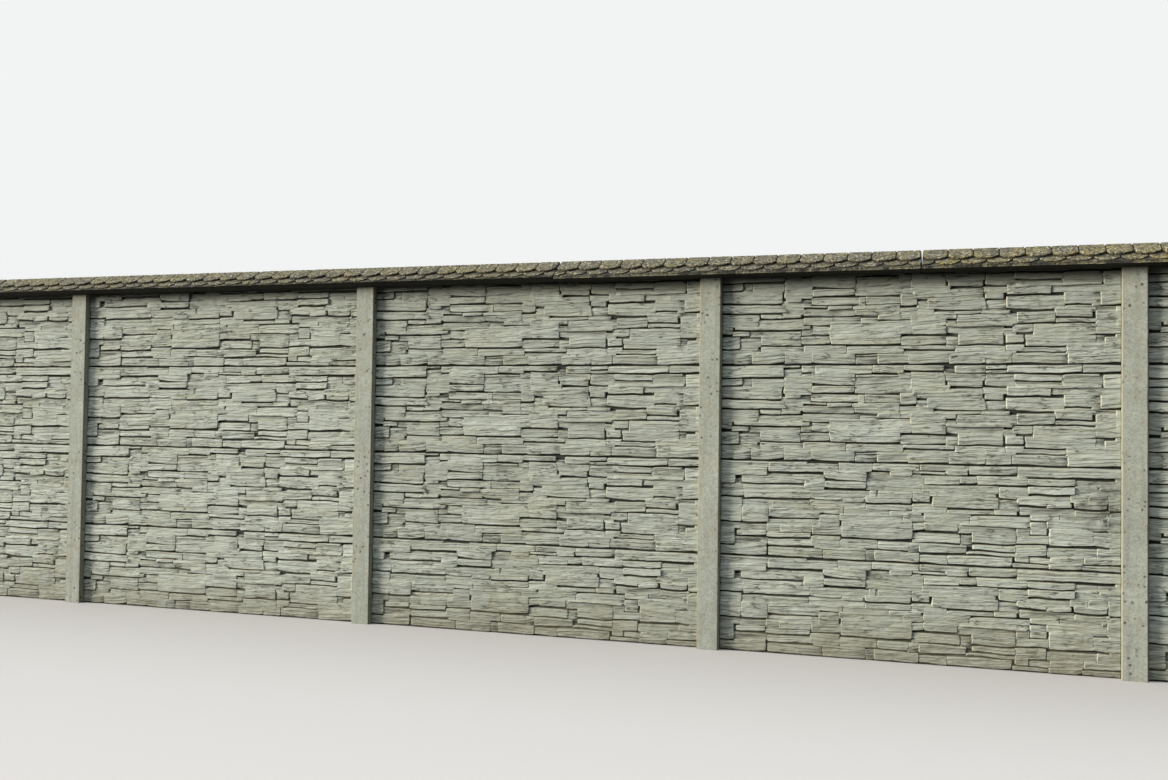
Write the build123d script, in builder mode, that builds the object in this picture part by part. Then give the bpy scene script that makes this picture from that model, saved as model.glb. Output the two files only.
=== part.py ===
from build123d import *
from math import ceil, cos, radians, sin, tan
import os

# Precast concrete fence, five bays long and four panels high.
# Grooved posts stand at an even pitch, long flat panels slide down between them and
# rest on one another, and a gabled coping cast with two courses of shingles on each
# slope sits astride the top edge.
# X runs along the fence, the front faces -Y, and Z = 0 is the ground line.
# The origin is the centre of the left-hand end post's foot. Sizes are in millimetres.

# Layout
BAYS = 5
ROWS = 4

# Panel: a flat slab, with courses of cast ledges standing out of its front
PANEL_LENGTH = 1990.0
PANEL_HEIGHT = 500.0
SLAB_THICKNESS = 30.0
SLAB_CHAMFER = 3.0
LEDGE_COURSES = 9
PROUD_LEDGE = 16.0
SHY_LEDGE = 8.0
LEDGE_DRAFT = 4.0
LEDGE_END_MARGIN = 14.0

# Post, with the fit of a panel in its grooves
POST_WIDTH = 116.0
POST_DEPTH = 120.0
POST_CHAMFER = 5.0
GROOVE_DEPTH = 30.0
GROOVE_FLARE = 3.0
END_CLEARANCE = 4.5
SIDE_CLEARANCE = 5.0

# Coping
COPING_LENGTH = 1934.0
COPING_JOINT = 8.0
COPING_END_OVERHANG = 15.0
END_UNITS_AT_MOST = 1.75
FIRST_UNIT_SHARE = 0.561
CHANNEL_DEPTH = 40.0
CHANNEL_CLEARANCE = 7.0
CROWN_THICKNESS = 83.0
EAVES_RISE = 10.0
COPING_DEPTH = 272.0
SLOPE = 30.0
SHINGLE_COUNT = 16
UPPER_COURSE_DEPTH = 192.0
UPPER_COURSE_THICKNESS = 16.0
LOWER_COURSE_THICKNESS = 11.0
SHINGLE_ROUND = 24.0
SHINGLE_CHORDS = 6
SHINGLE_GAP = 5.0
SHINGLE_GAP_DEPTH = 6.0
LOWER_STAGGER = 0.5

# Sizes that follow
GROOVE_WIDTH = SLAB_THICKNESS + 2 * SIDE_CLEARANCE
POST_WEB = POST_WIDTH - 2 * GROOVE_DEPTH
POST_PITCH = PANEL_LENGTH + 2 * END_CLEARANCE + POST_WEB
PANEL_VISIBLE_LENGTH = POST_PITCH - POST_WIDTH
LEDGE_LENGTH = PANEL_VISIBLE_LENGTH - 2 * LEDGE_END_MARGIN
LEDGE_PITCH = PANEL_HEIGHT / LEDGE_COURSES
PANELS_TOP = ROWS * PANEL_HEIGHT
POST_HEIGHT = PANELS_TOP - CHANNEL_DEPTH
CHANNEL_HALF = SLAB_THICKNESS / 2 + PROUD_LEDGE + CHANNEL_CLEARANCE
COPING_PITCH = COPING_LENGTH + COPING_JOINT
COPING_START = -POST_WIDTH / 2 - COPING_END_OVERHANG
COPING_END = BAYS * POST_PITCH + POST_WIDTH / 2 + COPING_END_OVERHANG
COPING_RUN = COPING_END - COPING_START
WHOLE_UNITS = ceil(COPING_RUN / COPING_PITCH - END_UNITS_AT_MOST)
COPING_UNITS = WHOLE_UNITS + 2
END_UNITS_LENGTH = COPING_RUN - WHOLE_UNITS * COPING_PITCH - COPING_JOINT
FIRST_JOINT_X = COPING_START + FIRST_UNIT_SHARE * END_UNITS_LENGTH + COPING_JOINT / 2
RIDGE_HEIGHT = PANELS_TOP + CROWN_THICKNESS
UPPER_HALF = UPPER_COURSE_DEPTH / 2
LOWER_HALF = COPING_DEPTH / 2 + UPPER_COURSE_THICKNESS * sin(radians(SLOPE))
SHINGLE_WIDTH = COPING_LENGTH / SHINGLE_COUNT


def write_piece(piece, name):
    """Label a finished piece and write it as its own STEP file."""
    piece.label = name
    export_step(piece, f"parts/{name}.step")


def make_post(number):
    """A square post with chamfered corners and one groove for each panel end it holds."""
    centre_x = (number - 1) * POST_PITCH
    sides = []
    if number > 1:
        sides.append(-1)
    if number <= BAYS:
        sides.append(1)
    with BuildPart() as post:
        with BuildSketch():
            with Locations((centre_x, 0)):
                section = Rectangle(POST_WIDTH, POST_DEPTH)
            chamfer(section.vertices(), POST_CHAMFER)
            for side in sides:
                mouth_x = centre_x + side * POST_WIDTH / 2
                floor_x = mouth_x - side * GROOVE_DEPTH
                half_floor = GROOVE_WIDTH / 2
                half_mouth = half_floor + GROOVE_FLARE
                with BuildLine():
                    Polyline(
                        (mouth_x, half_mouth),
                        (floor_x, half_floor),
                        (floor_x, -half_floor),
                        (mouth_x, -half_mouth),
                        close=True,
                    )
                make_face(mode=Mode.SUBTRACT)
        extrude(amount=POST_HEIGHT)
    write_piece(post.part, f"post_{number}")


def make_panel(bay, row):
    """A slab whose ends sit in the post grooves, with ledges along its front."""
    centre_x = (bay - 0.5) * POST_PITCH
    bottom = (row - 1) * PANEL_HEIGHT
    slab_front = -SLAB_THICKNESS / 2
    with BuildPart() as panel:
        with Locations((centre_x, 0, bottom + PANEL_HEIGHT / 2)):
            slab = Box(PANEL_LENGTH, SLAB_THICKNESS, PANEL_HEIGHT)
        chamfer(slab.edges().filter_by(Axis.Z), SLAB_CHAMFER)
        with BuildSketch(Plane.YZ.offset(centre_x - LEDGE_LENGTH / 2)):
            for course in range(LEDGE_COURSES):
                low = bottom + course * LEDGE_PITCH
                high = low + LEDGE_PITCH
                lip = slab_front - (SHY_LEDGE if course % 2 else PROUD_LEDGE)
                with BuildLine():
                    Polyline(
                        (slab_front, low),
                        (lip, low + LEDGE_DRAFT),
                        (lip + LEDGE_DRAFT, high),
                        (slab_front, high),
                        close=True,
                    )
                make_face()
        extrude(amount=LEDGE_LENGTH)
    write_piece(panel.part, f"panel_{bay}_{row}")


def slope_point(half_depth, below):
    """A point of the coping's section: half_depth out from the ridge along the upper
    surface, then below it square to the slope."""
    tilt = radians(SLOPE)
    return (
        half_depth - below * sin(tilt),
        RIDGE_HEIGHT - half_depth * tan(tilt) - below * cos(tilt),
    )


def course_surface(side, centre_x, below):
    """A plane on one slope, below the upper surface: its origin is on the ridge line, its
    X axis runs along the fence and its Y axis up the slope."""
    tilt = radians(SLOPE)
    normal = (0, side * sin(tilt), cos(tilt))
    ridge = (centre_x, 0, RIDGE_HEIGHT - below / cos(tilt))
    return Plane(ridge, x_dir=(-side, 0, 0), z_dir=normal)


def shingle_joints(stagger):
    """Where one shingle meets the next, from the middle of the unit, moved along by a
    share of a shingle."""
    start = stagger * SHINGLE_WIDTH - COPING_LENGTH / 2
    return [start + index * SHINGLE_WIDTH for index in range(SHINGLE_COUNT + 1)]


def butt_waste(surface, half_depth, stagger):
    """What the round lower ends of a course leave of a straight butt line. Each end is
    a shallow arch of a few chords, because there are hundreds of them."""
    butt = -half_depth / cos(radians(SLOPE))
    below = butt - SHINGLE_ROUND
    with BuildSketch(surface) as waste:
        for right in shingle_joints(stagger):
            left = right - SHINGLE_WIDTH
            outline = [(right, below), (left, below)]
            for chord in range(SHINGLE_CHORDS + 1):
                along = chord / SHINGLE_CHORDS
                rise = SHINGLE_ROUND * (1 - 4 * along * (1 - along))
                outline.append((left + along * SHINGLE_WIDTH, butt + rise))
            with BuildLine():
                Polyline(*outline, close=True)
            make_face()
    return waste.sketch


def shingle_gaps(surface, half_depth, stagger):
    """Narrow strips from the ridge down to the butt line, one at each joint."""
    length = half_depth / cos(radians(SLOPE))
    with BuildSketch(surface) as gaps:
        for joint in shingle_joints(stagger):
            with Locations((joint, -length / 2)):
                Rectangle(SHINGLE_GAP, length)
    return gaps.sketch


def make_coping(number):
    """One coping unit: a gabled bar with a channel below for the panels' top edge, a flat
    seat for the posts, a soffit that rises from there to the eaves, and two stepped
    courses of round-ended shingles on each slope."""
    centre_x = FIRST_JOINT_X + (number - 1.5) * COPING_PITCH
    upper_foot = slope_point(UPPER_HALF, UPPER_COURSE_THICKNESS)
    lower_top = slope_point(LOWER_HALF, UPPER_COURSE_THICKNESS)
    lower_foot = slope_point(LOWER_HALF, UPPER_COURSE_THICKNESS + LOWER_COURSE_THICKNESS)
    with BuildPart() as coping:
        with BuildSketch(Plane.YZ.offset(centre_x - COPING_LENGTH / 2)):
            with BuildLine():
                Polyline(
                    (0, RIDGE_HEIGHT),
                    slope_point(UPPER_HALF, 0),
                    upper_foot,
                    lower_top,
                    lower_foot,
                    (lower_foot[0], POST_HEIGHT + EAVES_RISE),
                    (POST_DEPTH / 2, POST_HEIGHT),
                    (CHANNEL_HALF, POST_HEIGHT),
                    (CHANNEL_HALF, PANELS_TOP),
                    (0, PANELS_TOP),
                    close=True,
                )
            make_face()
            mirror(about=Plane.YZ)
        extrude(amount=COPING_LENGTH)
        for side in (-1, 1):
            upper = course_surface(side, centre_x, 0)
            lower = course_surface(side, centre_x, UPPER_COURSE_THICKNESS)
            upper_waste = butt_waste(upper, UPPER_HALF, 0)
            lower_waste = butt_waste(lower, COPING_DEPTH / 2, LOWER_STAGGER)
            extrude(upper_waste, amount=-UPPER_COURSE_THICKNESS, mode=Mode.SUBTRACT)
            extrude(lower_waste, amount=-LOWER_COURSE_THICKNESS, mode=Mode.SUBTRACT)
            gaps = shingle_gaps(upper, UPPER_HALF, 0)
            extrude(gaps, amount=-SHINGLE_GAP_DEPTH, mode=Mode.SUBTRACT)
        if number == 1:
            split(bisect_by=Plane.YZ.offset(COPING_START), keep=Keep.TOP)
        if number == COPING_UNITS:
            split(bisect_by=Plane.YZ.offset(COPING_END), keep=Keep.BOTTOM)
    write_piece(coping.part, f"coping_{number}")


os.makedirs("parts", exist_ok=True)
for post_number in range(1, BAYS + 2):
    make_post(post_number)
for bay_number in range(1, BAYS + 1):
    for row_number in range(1, ROWS + 1):
        make_panel(bay_number, row_number)
for unit_number in range(1, COPING_UNITS + 1):
    make_coping(unit_number)
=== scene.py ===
import bpy
import numpy as np
from mathutils import Matrix


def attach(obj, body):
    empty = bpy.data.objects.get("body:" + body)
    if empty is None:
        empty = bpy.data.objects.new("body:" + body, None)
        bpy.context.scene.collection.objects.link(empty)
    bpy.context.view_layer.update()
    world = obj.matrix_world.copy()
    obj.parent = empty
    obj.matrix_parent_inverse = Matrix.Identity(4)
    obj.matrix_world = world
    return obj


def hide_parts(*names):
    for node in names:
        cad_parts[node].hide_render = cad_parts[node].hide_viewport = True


# A precast concrete fence: grooved posts, long panels with the face of split stone, and
# a gabled coping with two courses of shingles. Sizes in the tables are millimetres.
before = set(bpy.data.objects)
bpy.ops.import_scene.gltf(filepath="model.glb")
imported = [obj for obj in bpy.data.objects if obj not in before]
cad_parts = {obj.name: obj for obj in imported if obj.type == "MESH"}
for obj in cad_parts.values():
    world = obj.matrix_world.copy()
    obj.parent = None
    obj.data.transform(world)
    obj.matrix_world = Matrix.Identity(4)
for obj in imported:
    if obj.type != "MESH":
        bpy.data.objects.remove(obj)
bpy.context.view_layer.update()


# The posts
# Square posts of fine grey concrete, one at each end of every panel. They are cast
# lying in steel moulds, so the faces are smooth with small blowholes and every corner
# is chamfered, and the panels slide down the grooves in their sides.
POST_PITCH = 2055
POST_HEIGHT = 1960
POST_HALF_WIDTH = 58
POST_HALF_DEPTH = 60
POST_CHAMFER = 5
GROOVE_DEPTH = 30
GROOVE_FLOOR_HALF = 20
GROOVE_MOUTH_HALF = 23
POST_ARRIS_EASE = 1.6
POST_RINGS = 66
# worn places along the arrises: how far in from a corner, how long, how deep, and the
# part of the noise that wears
WORN_REACH, WORN_LENGTH, WORN_DEPTH, WORN_FROM = 9, 38, 4.0, 0.45
# how much and over what length the faces wander
WANDER, WANDER_LENGTH = 0.3, 260


def linear(code):
    """A colour written as an sRGB hex code, turned into the linear values of a shader."""
    parts = np.array([int(code[i:i + 2], 16) for i in (1, 3, 5)]) / 255
    bent = np.where(parts <= 0.04045, parts / 12.92, ((parts + 0.055) / 1.055) ** 2.4)
    return (*bent.tolist(), 1.0)


def add(material, kind, settings=None, links=None):
    """Adds one shader node. Each setting is a property of the node, or else the value of
    an input. Each link joins an output to an input, and a node given in an output's
    place stands for its first output."""
    tree = material.node_tree
    node = tree.nodes.new("ShaderNode" + kind)
    for name, value in (settings or {}).items():
        if isinstance(name, int) or name in node.inputs:
            node.inputs[name].default_value = value
        else:
            setattr(node, name, value)
    for name, source in (links or {}).items():
        if isinstance(source, bpy.types.Node):
            source = source.outputs[0]
        tree.links.new(source, node.inputs[name])
    return node


def blank_material(name):
    """A new material with no nodes yet."""
    material = bpy.data.materials.new(name)
    material.use_nodes = True
    material.node_tree.nodes.clear()
    return material


def stain_and_shade(material, tone, colour, pattern, start, end, cover):
    """Lays a colour over the tone. Its share rises evenly from nothing where the pattern
    is at start to cover where it is at end."""
    share = add(material, "MapRange", {"From Min": start, "From Max": end, "To Max": cover},
                {"Value": pattern})
    return add(material, "Mix", {"data_type": "RGBA", 7: linear(colour)},
               {0: share, 6: tone}).outputs[2]


def smooth_noise(across, up, step_across, step_up, seed):
    """Noise between -1 and 1: random heights at the corners of a lattice of cells,
    step_across by step_up, joined in each cell by the curve t * t * (3 - 2 * t)."""
    corners = np.random.default_rng(seed).uniform(-1, 1, (61, 61))
    a, b = np.asarray(across) / step_across, np.asarray(up) / step_up
    i, j = np.floor(a).astype(int), np.floor(b).astype(int)
    s, t = a - i, b - j
    s, t = s * s * (3 - 2 * s), t * t * (3 - 2 * t)
    low = corners[i % 61, j % 61] * (1 - s) + corners[(i + 1) % 61, j % 61] * s
    high = corners[i % 61, (j + 1) % 61] * (1 - s) + corners[(i + 1) % 61, (j + 1) % 61] * s
    return low * (1 - t) + high * t


def eased_outline(corners, ease):
    """A closed outline whose corners are each replaced by a short curve: the point at
    ease before the corner, the corner and the point at ease after it, blended with the
    weights (1-t)(1-t), 2t(1-t) and t*t. One more point each side keeps the face flat."""
    here = np.array(corners, float)
    before, after = np.roll(here, 1, 0) - here, np.roll(here, -1, 0) - here
    before *= ease / np.linalg.norm(before, axis=1, keepdims=True)
    after *= ease / np.linalg.norm(after, axis=1, keepdims=True)
    a, b, c, d, e = here + 1.6 * before, here + before, here, here + after, here + 1.6 * after
    return np.stack([a, b, (b + 2 * c + d) / 4, d, e], 1).reshape(-1, 2)


def tube_quads(rings, around):
    """The quads that join each ring of points to the next one."""
    first = np.arange(rings - 1)[:, None] * around
    here = np.arange(around)[None, :]
    after = (here + 1) % around
    corners = [first + here, first + after, first + around + after, first + around + here]
    return np.stack(corners, -1).reshape(-1, 4)


def make_piece(name, points, faces, material, nodes, sharp=35):
    """Puts points in millimetres and faces into a mesh of its own, with smooth faces
    that meet in a crease where they turn by more than sharp degrees."""
    mesh = bpy.data.meshes.new(name)
    mesh.from_pydata((np.asarray(points) / 1000).tolist(), [], faces)
    mesh.polygons.foreach_set("use_smooth", np.ones(len(mesh.polygons), bool))
    mesh.set_sharp_from_angle(angle=np.radians(sharp))
    mesh.materials.append(material)
    piece = bpy.data.objects.new(name, mesh)
    bpy.context.scene.collection.objects.link(piece)
    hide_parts(*nodes)
    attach(piece, "root")
    return piece


def post_surface(grooves):
    """The post's outline carried up its height. At each height the points near the
    chamfers sink in by a noise that is cut off at zero, which leaves a few worn places
    along straight arrises, and the faces wander by a third of a millimetre. The last
    array is 1 on the chamfers."""
    w, d, c = POST_HALF_WIDTH, POST_HALF_DEPTH, POST_CHAMFER
    floor_x = w - GROOVE_DEPTH
    right = [(w, -GROOVE_MOUTH_HALF), (floor_x, -GROOVE_FLOOR_HALF),
             (floor_x, GROOVE_FLOOR_HALF), (w, GROOVE_MOUTH_HALF)]
    left = [(-x, -y) for x, y in right]
    corners = [(-w, -d + c), (-w + c, -d), (w - c, -d), (w, -d + c)]
    corners += right if 1 in grooves else []
    corners += [(w, d - c), (w - c, d), (-w + c, d), (-w, d - c)]
    corners += left if -1 in grooves else []
    outline = eased_outline(corners, POST_ARRIS_EASE)
    up = np.linspace(0, POST_HEIGHT, POST_RINGS)
    x, y = outline[:, 0][None, :], outline[:, 1][None, :]
    z = np.repeat(up[:, None], len(outline), 1)
    corner = (np.abs(x) > w - WORN_REACH) & (np.abs(y) > d - WORN_REACH)
    # each corner of the post reads the noise in a row of its own
    around = np.arange(len(outline))[None, :] // 10 * 40
    worn = smooth_noise(z, around, WORN_LENGTH, 20, 11) - WORN_FROM
    worn = np.clip(worn, 0, 1) * WORN_DEPTH * corner
    wander = 0.35 + WANDER * smooth_noise(z, 0 * around, WANDER_LENGTH, 60, 12)
    shrink = (worn + wander) / np.hypot(x, y)
    points = np.stack([x * (1 - shrink), y * (1 - shrink), z], -1)
    edge = (np.abs(x) > w - c - 2) & (np.abs(y) > d - c - 2)
    return points.reshape(-1, 3), len(outline), (edge + 0 * z).ravel()


# Grey cement paste off a smooth steel mould: matt, even, with blowholes that read as dark
# specks, faint runs down the face and a little rust from iron in the sand.
post_concrete = blank_material("post_smooth_cast_concrete")
where = add(post_concrete, "TexCoord").outputs["Object"]
mottle = add(post_concrete, "TexNoise", {"Scale": 9.0, "Detail": 6.0, "Roughness": 0.7},
             {"Vector": where})
tone = add(post_concrete, "Mix",
           {"data_type": "RGBA", 6: linear("#868879"), 7: linear("#CACBB9")},
           {0: mottle}).outputs[2]
# runs are some 25 mm wide and half a metre long
stretch = add(post_concrete, "Mapping", {"Scale": (40.0, 40.0, 2.0)}, {"Vector": where})
runs = add(post_concrete, "TexNoise", {"Scale": 1.0, "Detail": 3.0}, {"Vector": stretch})
tone = stain_and_shade(post_concrete, tone, "#8A8A7C", runs, 0.5, 0.7, 0.45)
# rusty patches, then sand grains drawn some 9 mm wide, coarser than they are, so that
# they show
rust = add(post_concrete, "TexNoise", {"Scale": 11.0, "Detail": 6.0, "Roughness": 0.7},
           {"Vector": where})
tone = stain_and_shade(post_concrete, tone, "#A8937A", rust, 0.52, 0.7, 0.5)
grain = add(post_concrete, "TexNoise", {"Scale": 110.0, "Detail": 4.0, "Roughness": 0.65},
            {"Vector": where})
tone = stain_and_shade(post_concrete, tone, "#7D817B", grain, 0.46, 0.6, 0.5)
# clay-coloured stain along the arrises
edge = add(post_concrete, "Attribute", {"attribute_name": "arris"}).outputs["Fac"]
edge = add(post_concrete, "Math", {"operation": "MULTIPLY", 1: 0.75}, {0: edge})
tone = add(post_concrete, "Mix", {"data_type": "RGBA", 7: linear("#80755B")},
           {0: edge, 6: tone}).outputs[2]
# blowholes of 4 to 10 mm, in clusters, in some of the cells of 28 mm; they are painted dark, as
# painted shade inside the holes
warped = add(post_concrete, "Mix", {"data_type": "VECTOR", 0: 0.012},
             {4: where, 5: grain.outputs["Color"]}).outputs[1]
cells = add(post_concrete, "TexVoronoi", {"Scale": 36.0}, {"Vector": warped})
hole = add(post_concrete, "MapRange",
           {"From Min": 0.16, "From Max": 0.33, "To Min": 1.0, "To Max": 0.0}, {"Value": cells})
some = add(post_concrete, "Math", {"operation": "GREATER_THAN", 1: 0.35},
           {0: cells.outputs["Color"]})
cluster = add(post_concrete, "TexNoise", {"Scale": 6.0, "Detail": 2.0}, {"Vector": where})
cluster = add(post_concrete, "MapRange", {"From Min": 0.4, "From Max": 0.54, "To Max": 0.9},
              {"Value": cluster})
some = add(post_concrete, "Math", {"operation": "MULTIPLY"}, {0: some, 1: cluster})
hole = add(post_concrete, "Math", {"operation": "MULTIPLY"}, {0: hole, 1: some})
# painted shade: the holes take a dark colour
tone = add(post_concrete, "Mix", {"data_type": "RGBA", 7: linear("#45443B")},
           {0: hole, 6: tone}).outputs[2]
relief = add(post_concrete, "Math", {"operation": "MULTIPLY_ADD", 1: -2.2}, {0: hole, 2: grain})
bump = add(post_concrete, "Bump", {"Strength": 0.8, "Distance": 0.0006}, {"Height": relief})
surface = add(post_concrete, "BsdfPrincipled", {"Roughness": 0.88, "IOR": 1.5},
              {"Base Color": tone, "Normal": bump})
add(post_concrete, "OutputMaterial", None, {"Surface": surface})

for number in range(1, 7):
    grooves = [1] if number == 1 else [-1] if number == 6 else [-1, 1]
    points, around, arris = post_surface(grooves)
    points = points + [(number - 1) * POST_PITCH, 0, 0]
    last = (POST_RINGS - 1) * around
    faces = tube_quads(POST_RINGS, around).tolist()
    faces += [list(range(around))[::-1], list(range(last, last + around))]
    post = make_piece(f"cast_post_{number}", points, faces, post_concrete,
                      [f"post_{number}"])
    post.data.attributes.new("arris", "FLOAT", "POINT").data.foreach_set("value", arris)


# The panels
# Each panel is a slab of concrete cast face down in a rubber mould that copies a wall of
# split ledge stones. Two moulds are in use, and four panels stand on one another in each
# bay with their ends in the grooves of the posts.
PANEL_LENGTH = 1990
PANEL_HEIGHT = 500
SLAB_HALF = 15
SLAB_CHAMFER = 3
EDGE_BEVEL = 3
VISIBLE_HALF = 969
SUNK = 2
BED_HEIGHT = 2.5
# a stone that ends past these places runs on to the panel's edge
LEFT_END_FROM, RIGHT_END_FROM = -940, 930
FOOT_FROM, TOP_FROM = 14, 490
EDGE_MARGIN = 4
CLOSE_REACH = 26
END_CLOSE_REACH = 46
FOOT_STEP = 3
GROOVE_SHARE = 0.9
GROOVE_WIDTHS = (5, 10.5)
UNDER = 7
FOOT_MORE = 2.5
LEAN_BACK = 0.1
PROUDEST = 22.5
FACE_CELL_LONG = 30
FACE_CELL_HIGH = 8
# the drafted side at the left, right, foot and top of a stone, from and to
DRAFT_FROM, DRAFT_TO = [4, 2.0, 1.0, 2.5], [8, 4, 2.0, 5.5]
STONE_EASE = 2.0
# where the two splits of a stone lie up its height, from and to, how tall a stone has
# them, and how deep they step
SPLIT_FROM, SPLIT_TO = [0.55, 0.25], [0.75, 0.4]
ONE_SPLIT, TWO_SPLITS = 22, 46
SPLIT_STEP = (1.5, 3.8)
# how much is broken off a corner, and how far from it that starts
CORNER_CUT, CORNER_REACH = (1, 8), 9
# how far the right end of a stone falls back, and over what length
END_FALL, END_FALL_REACH = (0.5, 4), 45

# One row for each stone of a mould: its left and right ends from the panel's middle,
# its lower and upper edges from the panel's foot, how far it stands out of the slab,
# and, where an end is cut on a slant, how far the top of the left and right end leans.
FIRST_MOULD = [
    (-972, -642, 482, 497, 12), (-972, -640, 432, 480, 17), (-638, -556, 484, 497, 15),
    (-636, -556, 438, 482, 11), (-554, -492, 458, 497, 15), (-554, -505, 438, 454, 10),
    (-972, -857, 389, 428, 15), (-853, -815, 380, 428, 8), (-815, -648, 378, 408, 11),
    (-815, -648, 408, 428, 9), (-972, -855, 366, 386, 9), (-645, -503, 384, 430, 13),
    (-645, -505, 343, 382, 15), (-972, -648, 320, 376, 13), (-972, -632, 270, 314, 15, 0, -20),
    (-635, -548, 324, 338, 16), (-640, -548, 264, 320, 8), (-768, -662, 243, 264, 13),
    (-658, -550, 243, 262, 14), (-972, -770, 220, 262, 11), (-972, -775, 204, 218, 13),
    (-765, -552, 205, 238, 9), (-972, -912, 156, 200, 15), (-905, -502, 181, 203, 19),
    (-905, -820, 148, 176, 14), (-816, -550, 146, 175, 9), (-972, -870, 80, 142, 16),
    (-866, -772, 90, 140, 9), (-866, -774, 74, 88, 11), (-765, -552, 100, 140, 12),
    (-765, -556, 60, 98, 10), (-972, -775, 50, 68, 8), (-775, -500, 48, 57, 9),
    (-972, -900, 5, 46, 12), (-900, -816, 5, 46, 11), (-813, -646, 5, 46, 12),
    (-642, -508, 5, 44, 12),
    (-488, -188, 451, 497, 18), (-186, -43, 456, 497, 17), (-40, 160, 467, 497, 17),
    (-500, -275, 396, 434, 17), (-500, -278, 353, 393, 16), (-268, -60, 436, 448, 14),
    (-268, -20, 352, 430, 10), (-500, -270, 308, 348, 9), (-265, -235, 300, 350, 11),
    (-232, -62, 308, 346, 11), (-545, -415, 292, 304, 17), (-410, -290, 284, 304, 17),
    (-288, -60, 283, 304, 14), (-545, -285, 250, 278, 8), (-285, -55, 250, 276, 12),
    (-545, -260, 203, 248, 10), (-255, -172, 216, 238, 9), (-170, -50, 226, 243, 12),
    (-260, -20, 180, 215, 11), (-500, -410, 152, 203, 10), (-408, -100, 180, 203, 11),
    (-410, -48, 102, 176, 17, -16, 0), (-92, -8, 152, 195, 14), (-545, -420, 105, 150, 10),
    (-545, -320, 55, 100, 12), (-316, -45, 55, 95, 10), (-500, -275, 12, 48, 15),
    (-268, -175, 5, 38, 8), (-268, 0, 42, 50, 12), (-172, 20, 5, 40, 11),
    (205, 348, 455, 497, 13), (350, 445, 478, 497, 15), (350, 448, 455, 474, 12),
    (450, 800, 458, 497, 18), (-8, 165, 390, 462, 12), (185, 345, 415, 455, 10),
    (170, 345, 388, 412, 12), (348, 480, 390, 452, 12), (-8, 190, 368, 386, 13),
    (0, 345, 324, 366, 12), (-58, 28, 295, 345, 15), (5, 68, 345, 352, 13),
    (75, 357, 272, 316, 15, 0, -15), (32, 102, 250, 316, 12), (355, 440, 325, 350, 14),
    (352, 440, 260, 322, 8), (445, 700, 270, 336, 12), (105, 325, 248, 268, 12),
    (330, 470, 248, 266, 14), (-10, 220, 224, 248, 13), (-10, 220, 205, 220, 11),
    (225, 480, 205, 243, 9), (-8, 162, 186, 204, 13), (163, 485, 187, 205, 19),
    (0, 165, 150, 180, 15), (170, 445, 152, 180, 9), (-42, 170, 98, 143, 10),
    (-42, 213, 76, 96, 12), (220, 440, 98, 148, 12), (220, 440, 60, 96, 10),
    (445, 535, 104, 148, 14), (-42, 220, 50, 70, 9), (225, 500, 50, 58, 9),
    (-20, 175, 5, 48, 12), (178, 345, 5, 47, 12), (350, 480, 5, 45, 12),
    (805, 940, 458, 497, 16), (485, 712, 418, 450, 13), (715, 875, 404, 434, 9),
    (712, 880, 440, 450, 14), (488, 885, 381, 402, 17), (485, 710, 402, 413, 10),
    (885, 940, 380, 450, 15), (940, 972, 380, 455, 8), (450, 660, 346, 376, 15),
    (662, 935, 346, 374, 9), (715, 862, 292, 342, 12), (715, 862, 260, 290, 11),
    (875, 940, 284, 338, 14), (870, 940, 255, 278, 7), (495, 665, 204, 248, 13),
    (690, 845, 204, 228, 10), (670, 845, 230, 250, 12), (855, 940, 145, 250, 14),
    (942, 972, 175, 290, 16), (570, 860, 136, 202, 13), (485, 565, 155, 203, 12),
    (535, 860, 88, 130, 12), (860, 885, 95, 140, 8), (890, 972, 60, 130, 13),
    (535, 715, 60, 82, 9), (720, 972, 50, 88, 11), (490, 700, 38, 58, 12),
    (490, 720, 5, 30, 10), (725, 972, 5, 44, 13), (942, 972, 100, 172, 10),
    (-548, -500, 150, 180, 9), (-548, -498, 300, 345, 10), (-62, -10, 428, 466, 11),
    (-52, 34, 226, 292, 13), (163, 204, 450, 478, 6), (172, 218, 100, 138, 7),
    (345, 450, 350, 392, 11), (445, 535, 62, 97, 11), (446, 500, 155, 179, 8),
    (858, 880, 255, 345, 9),
]
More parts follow.
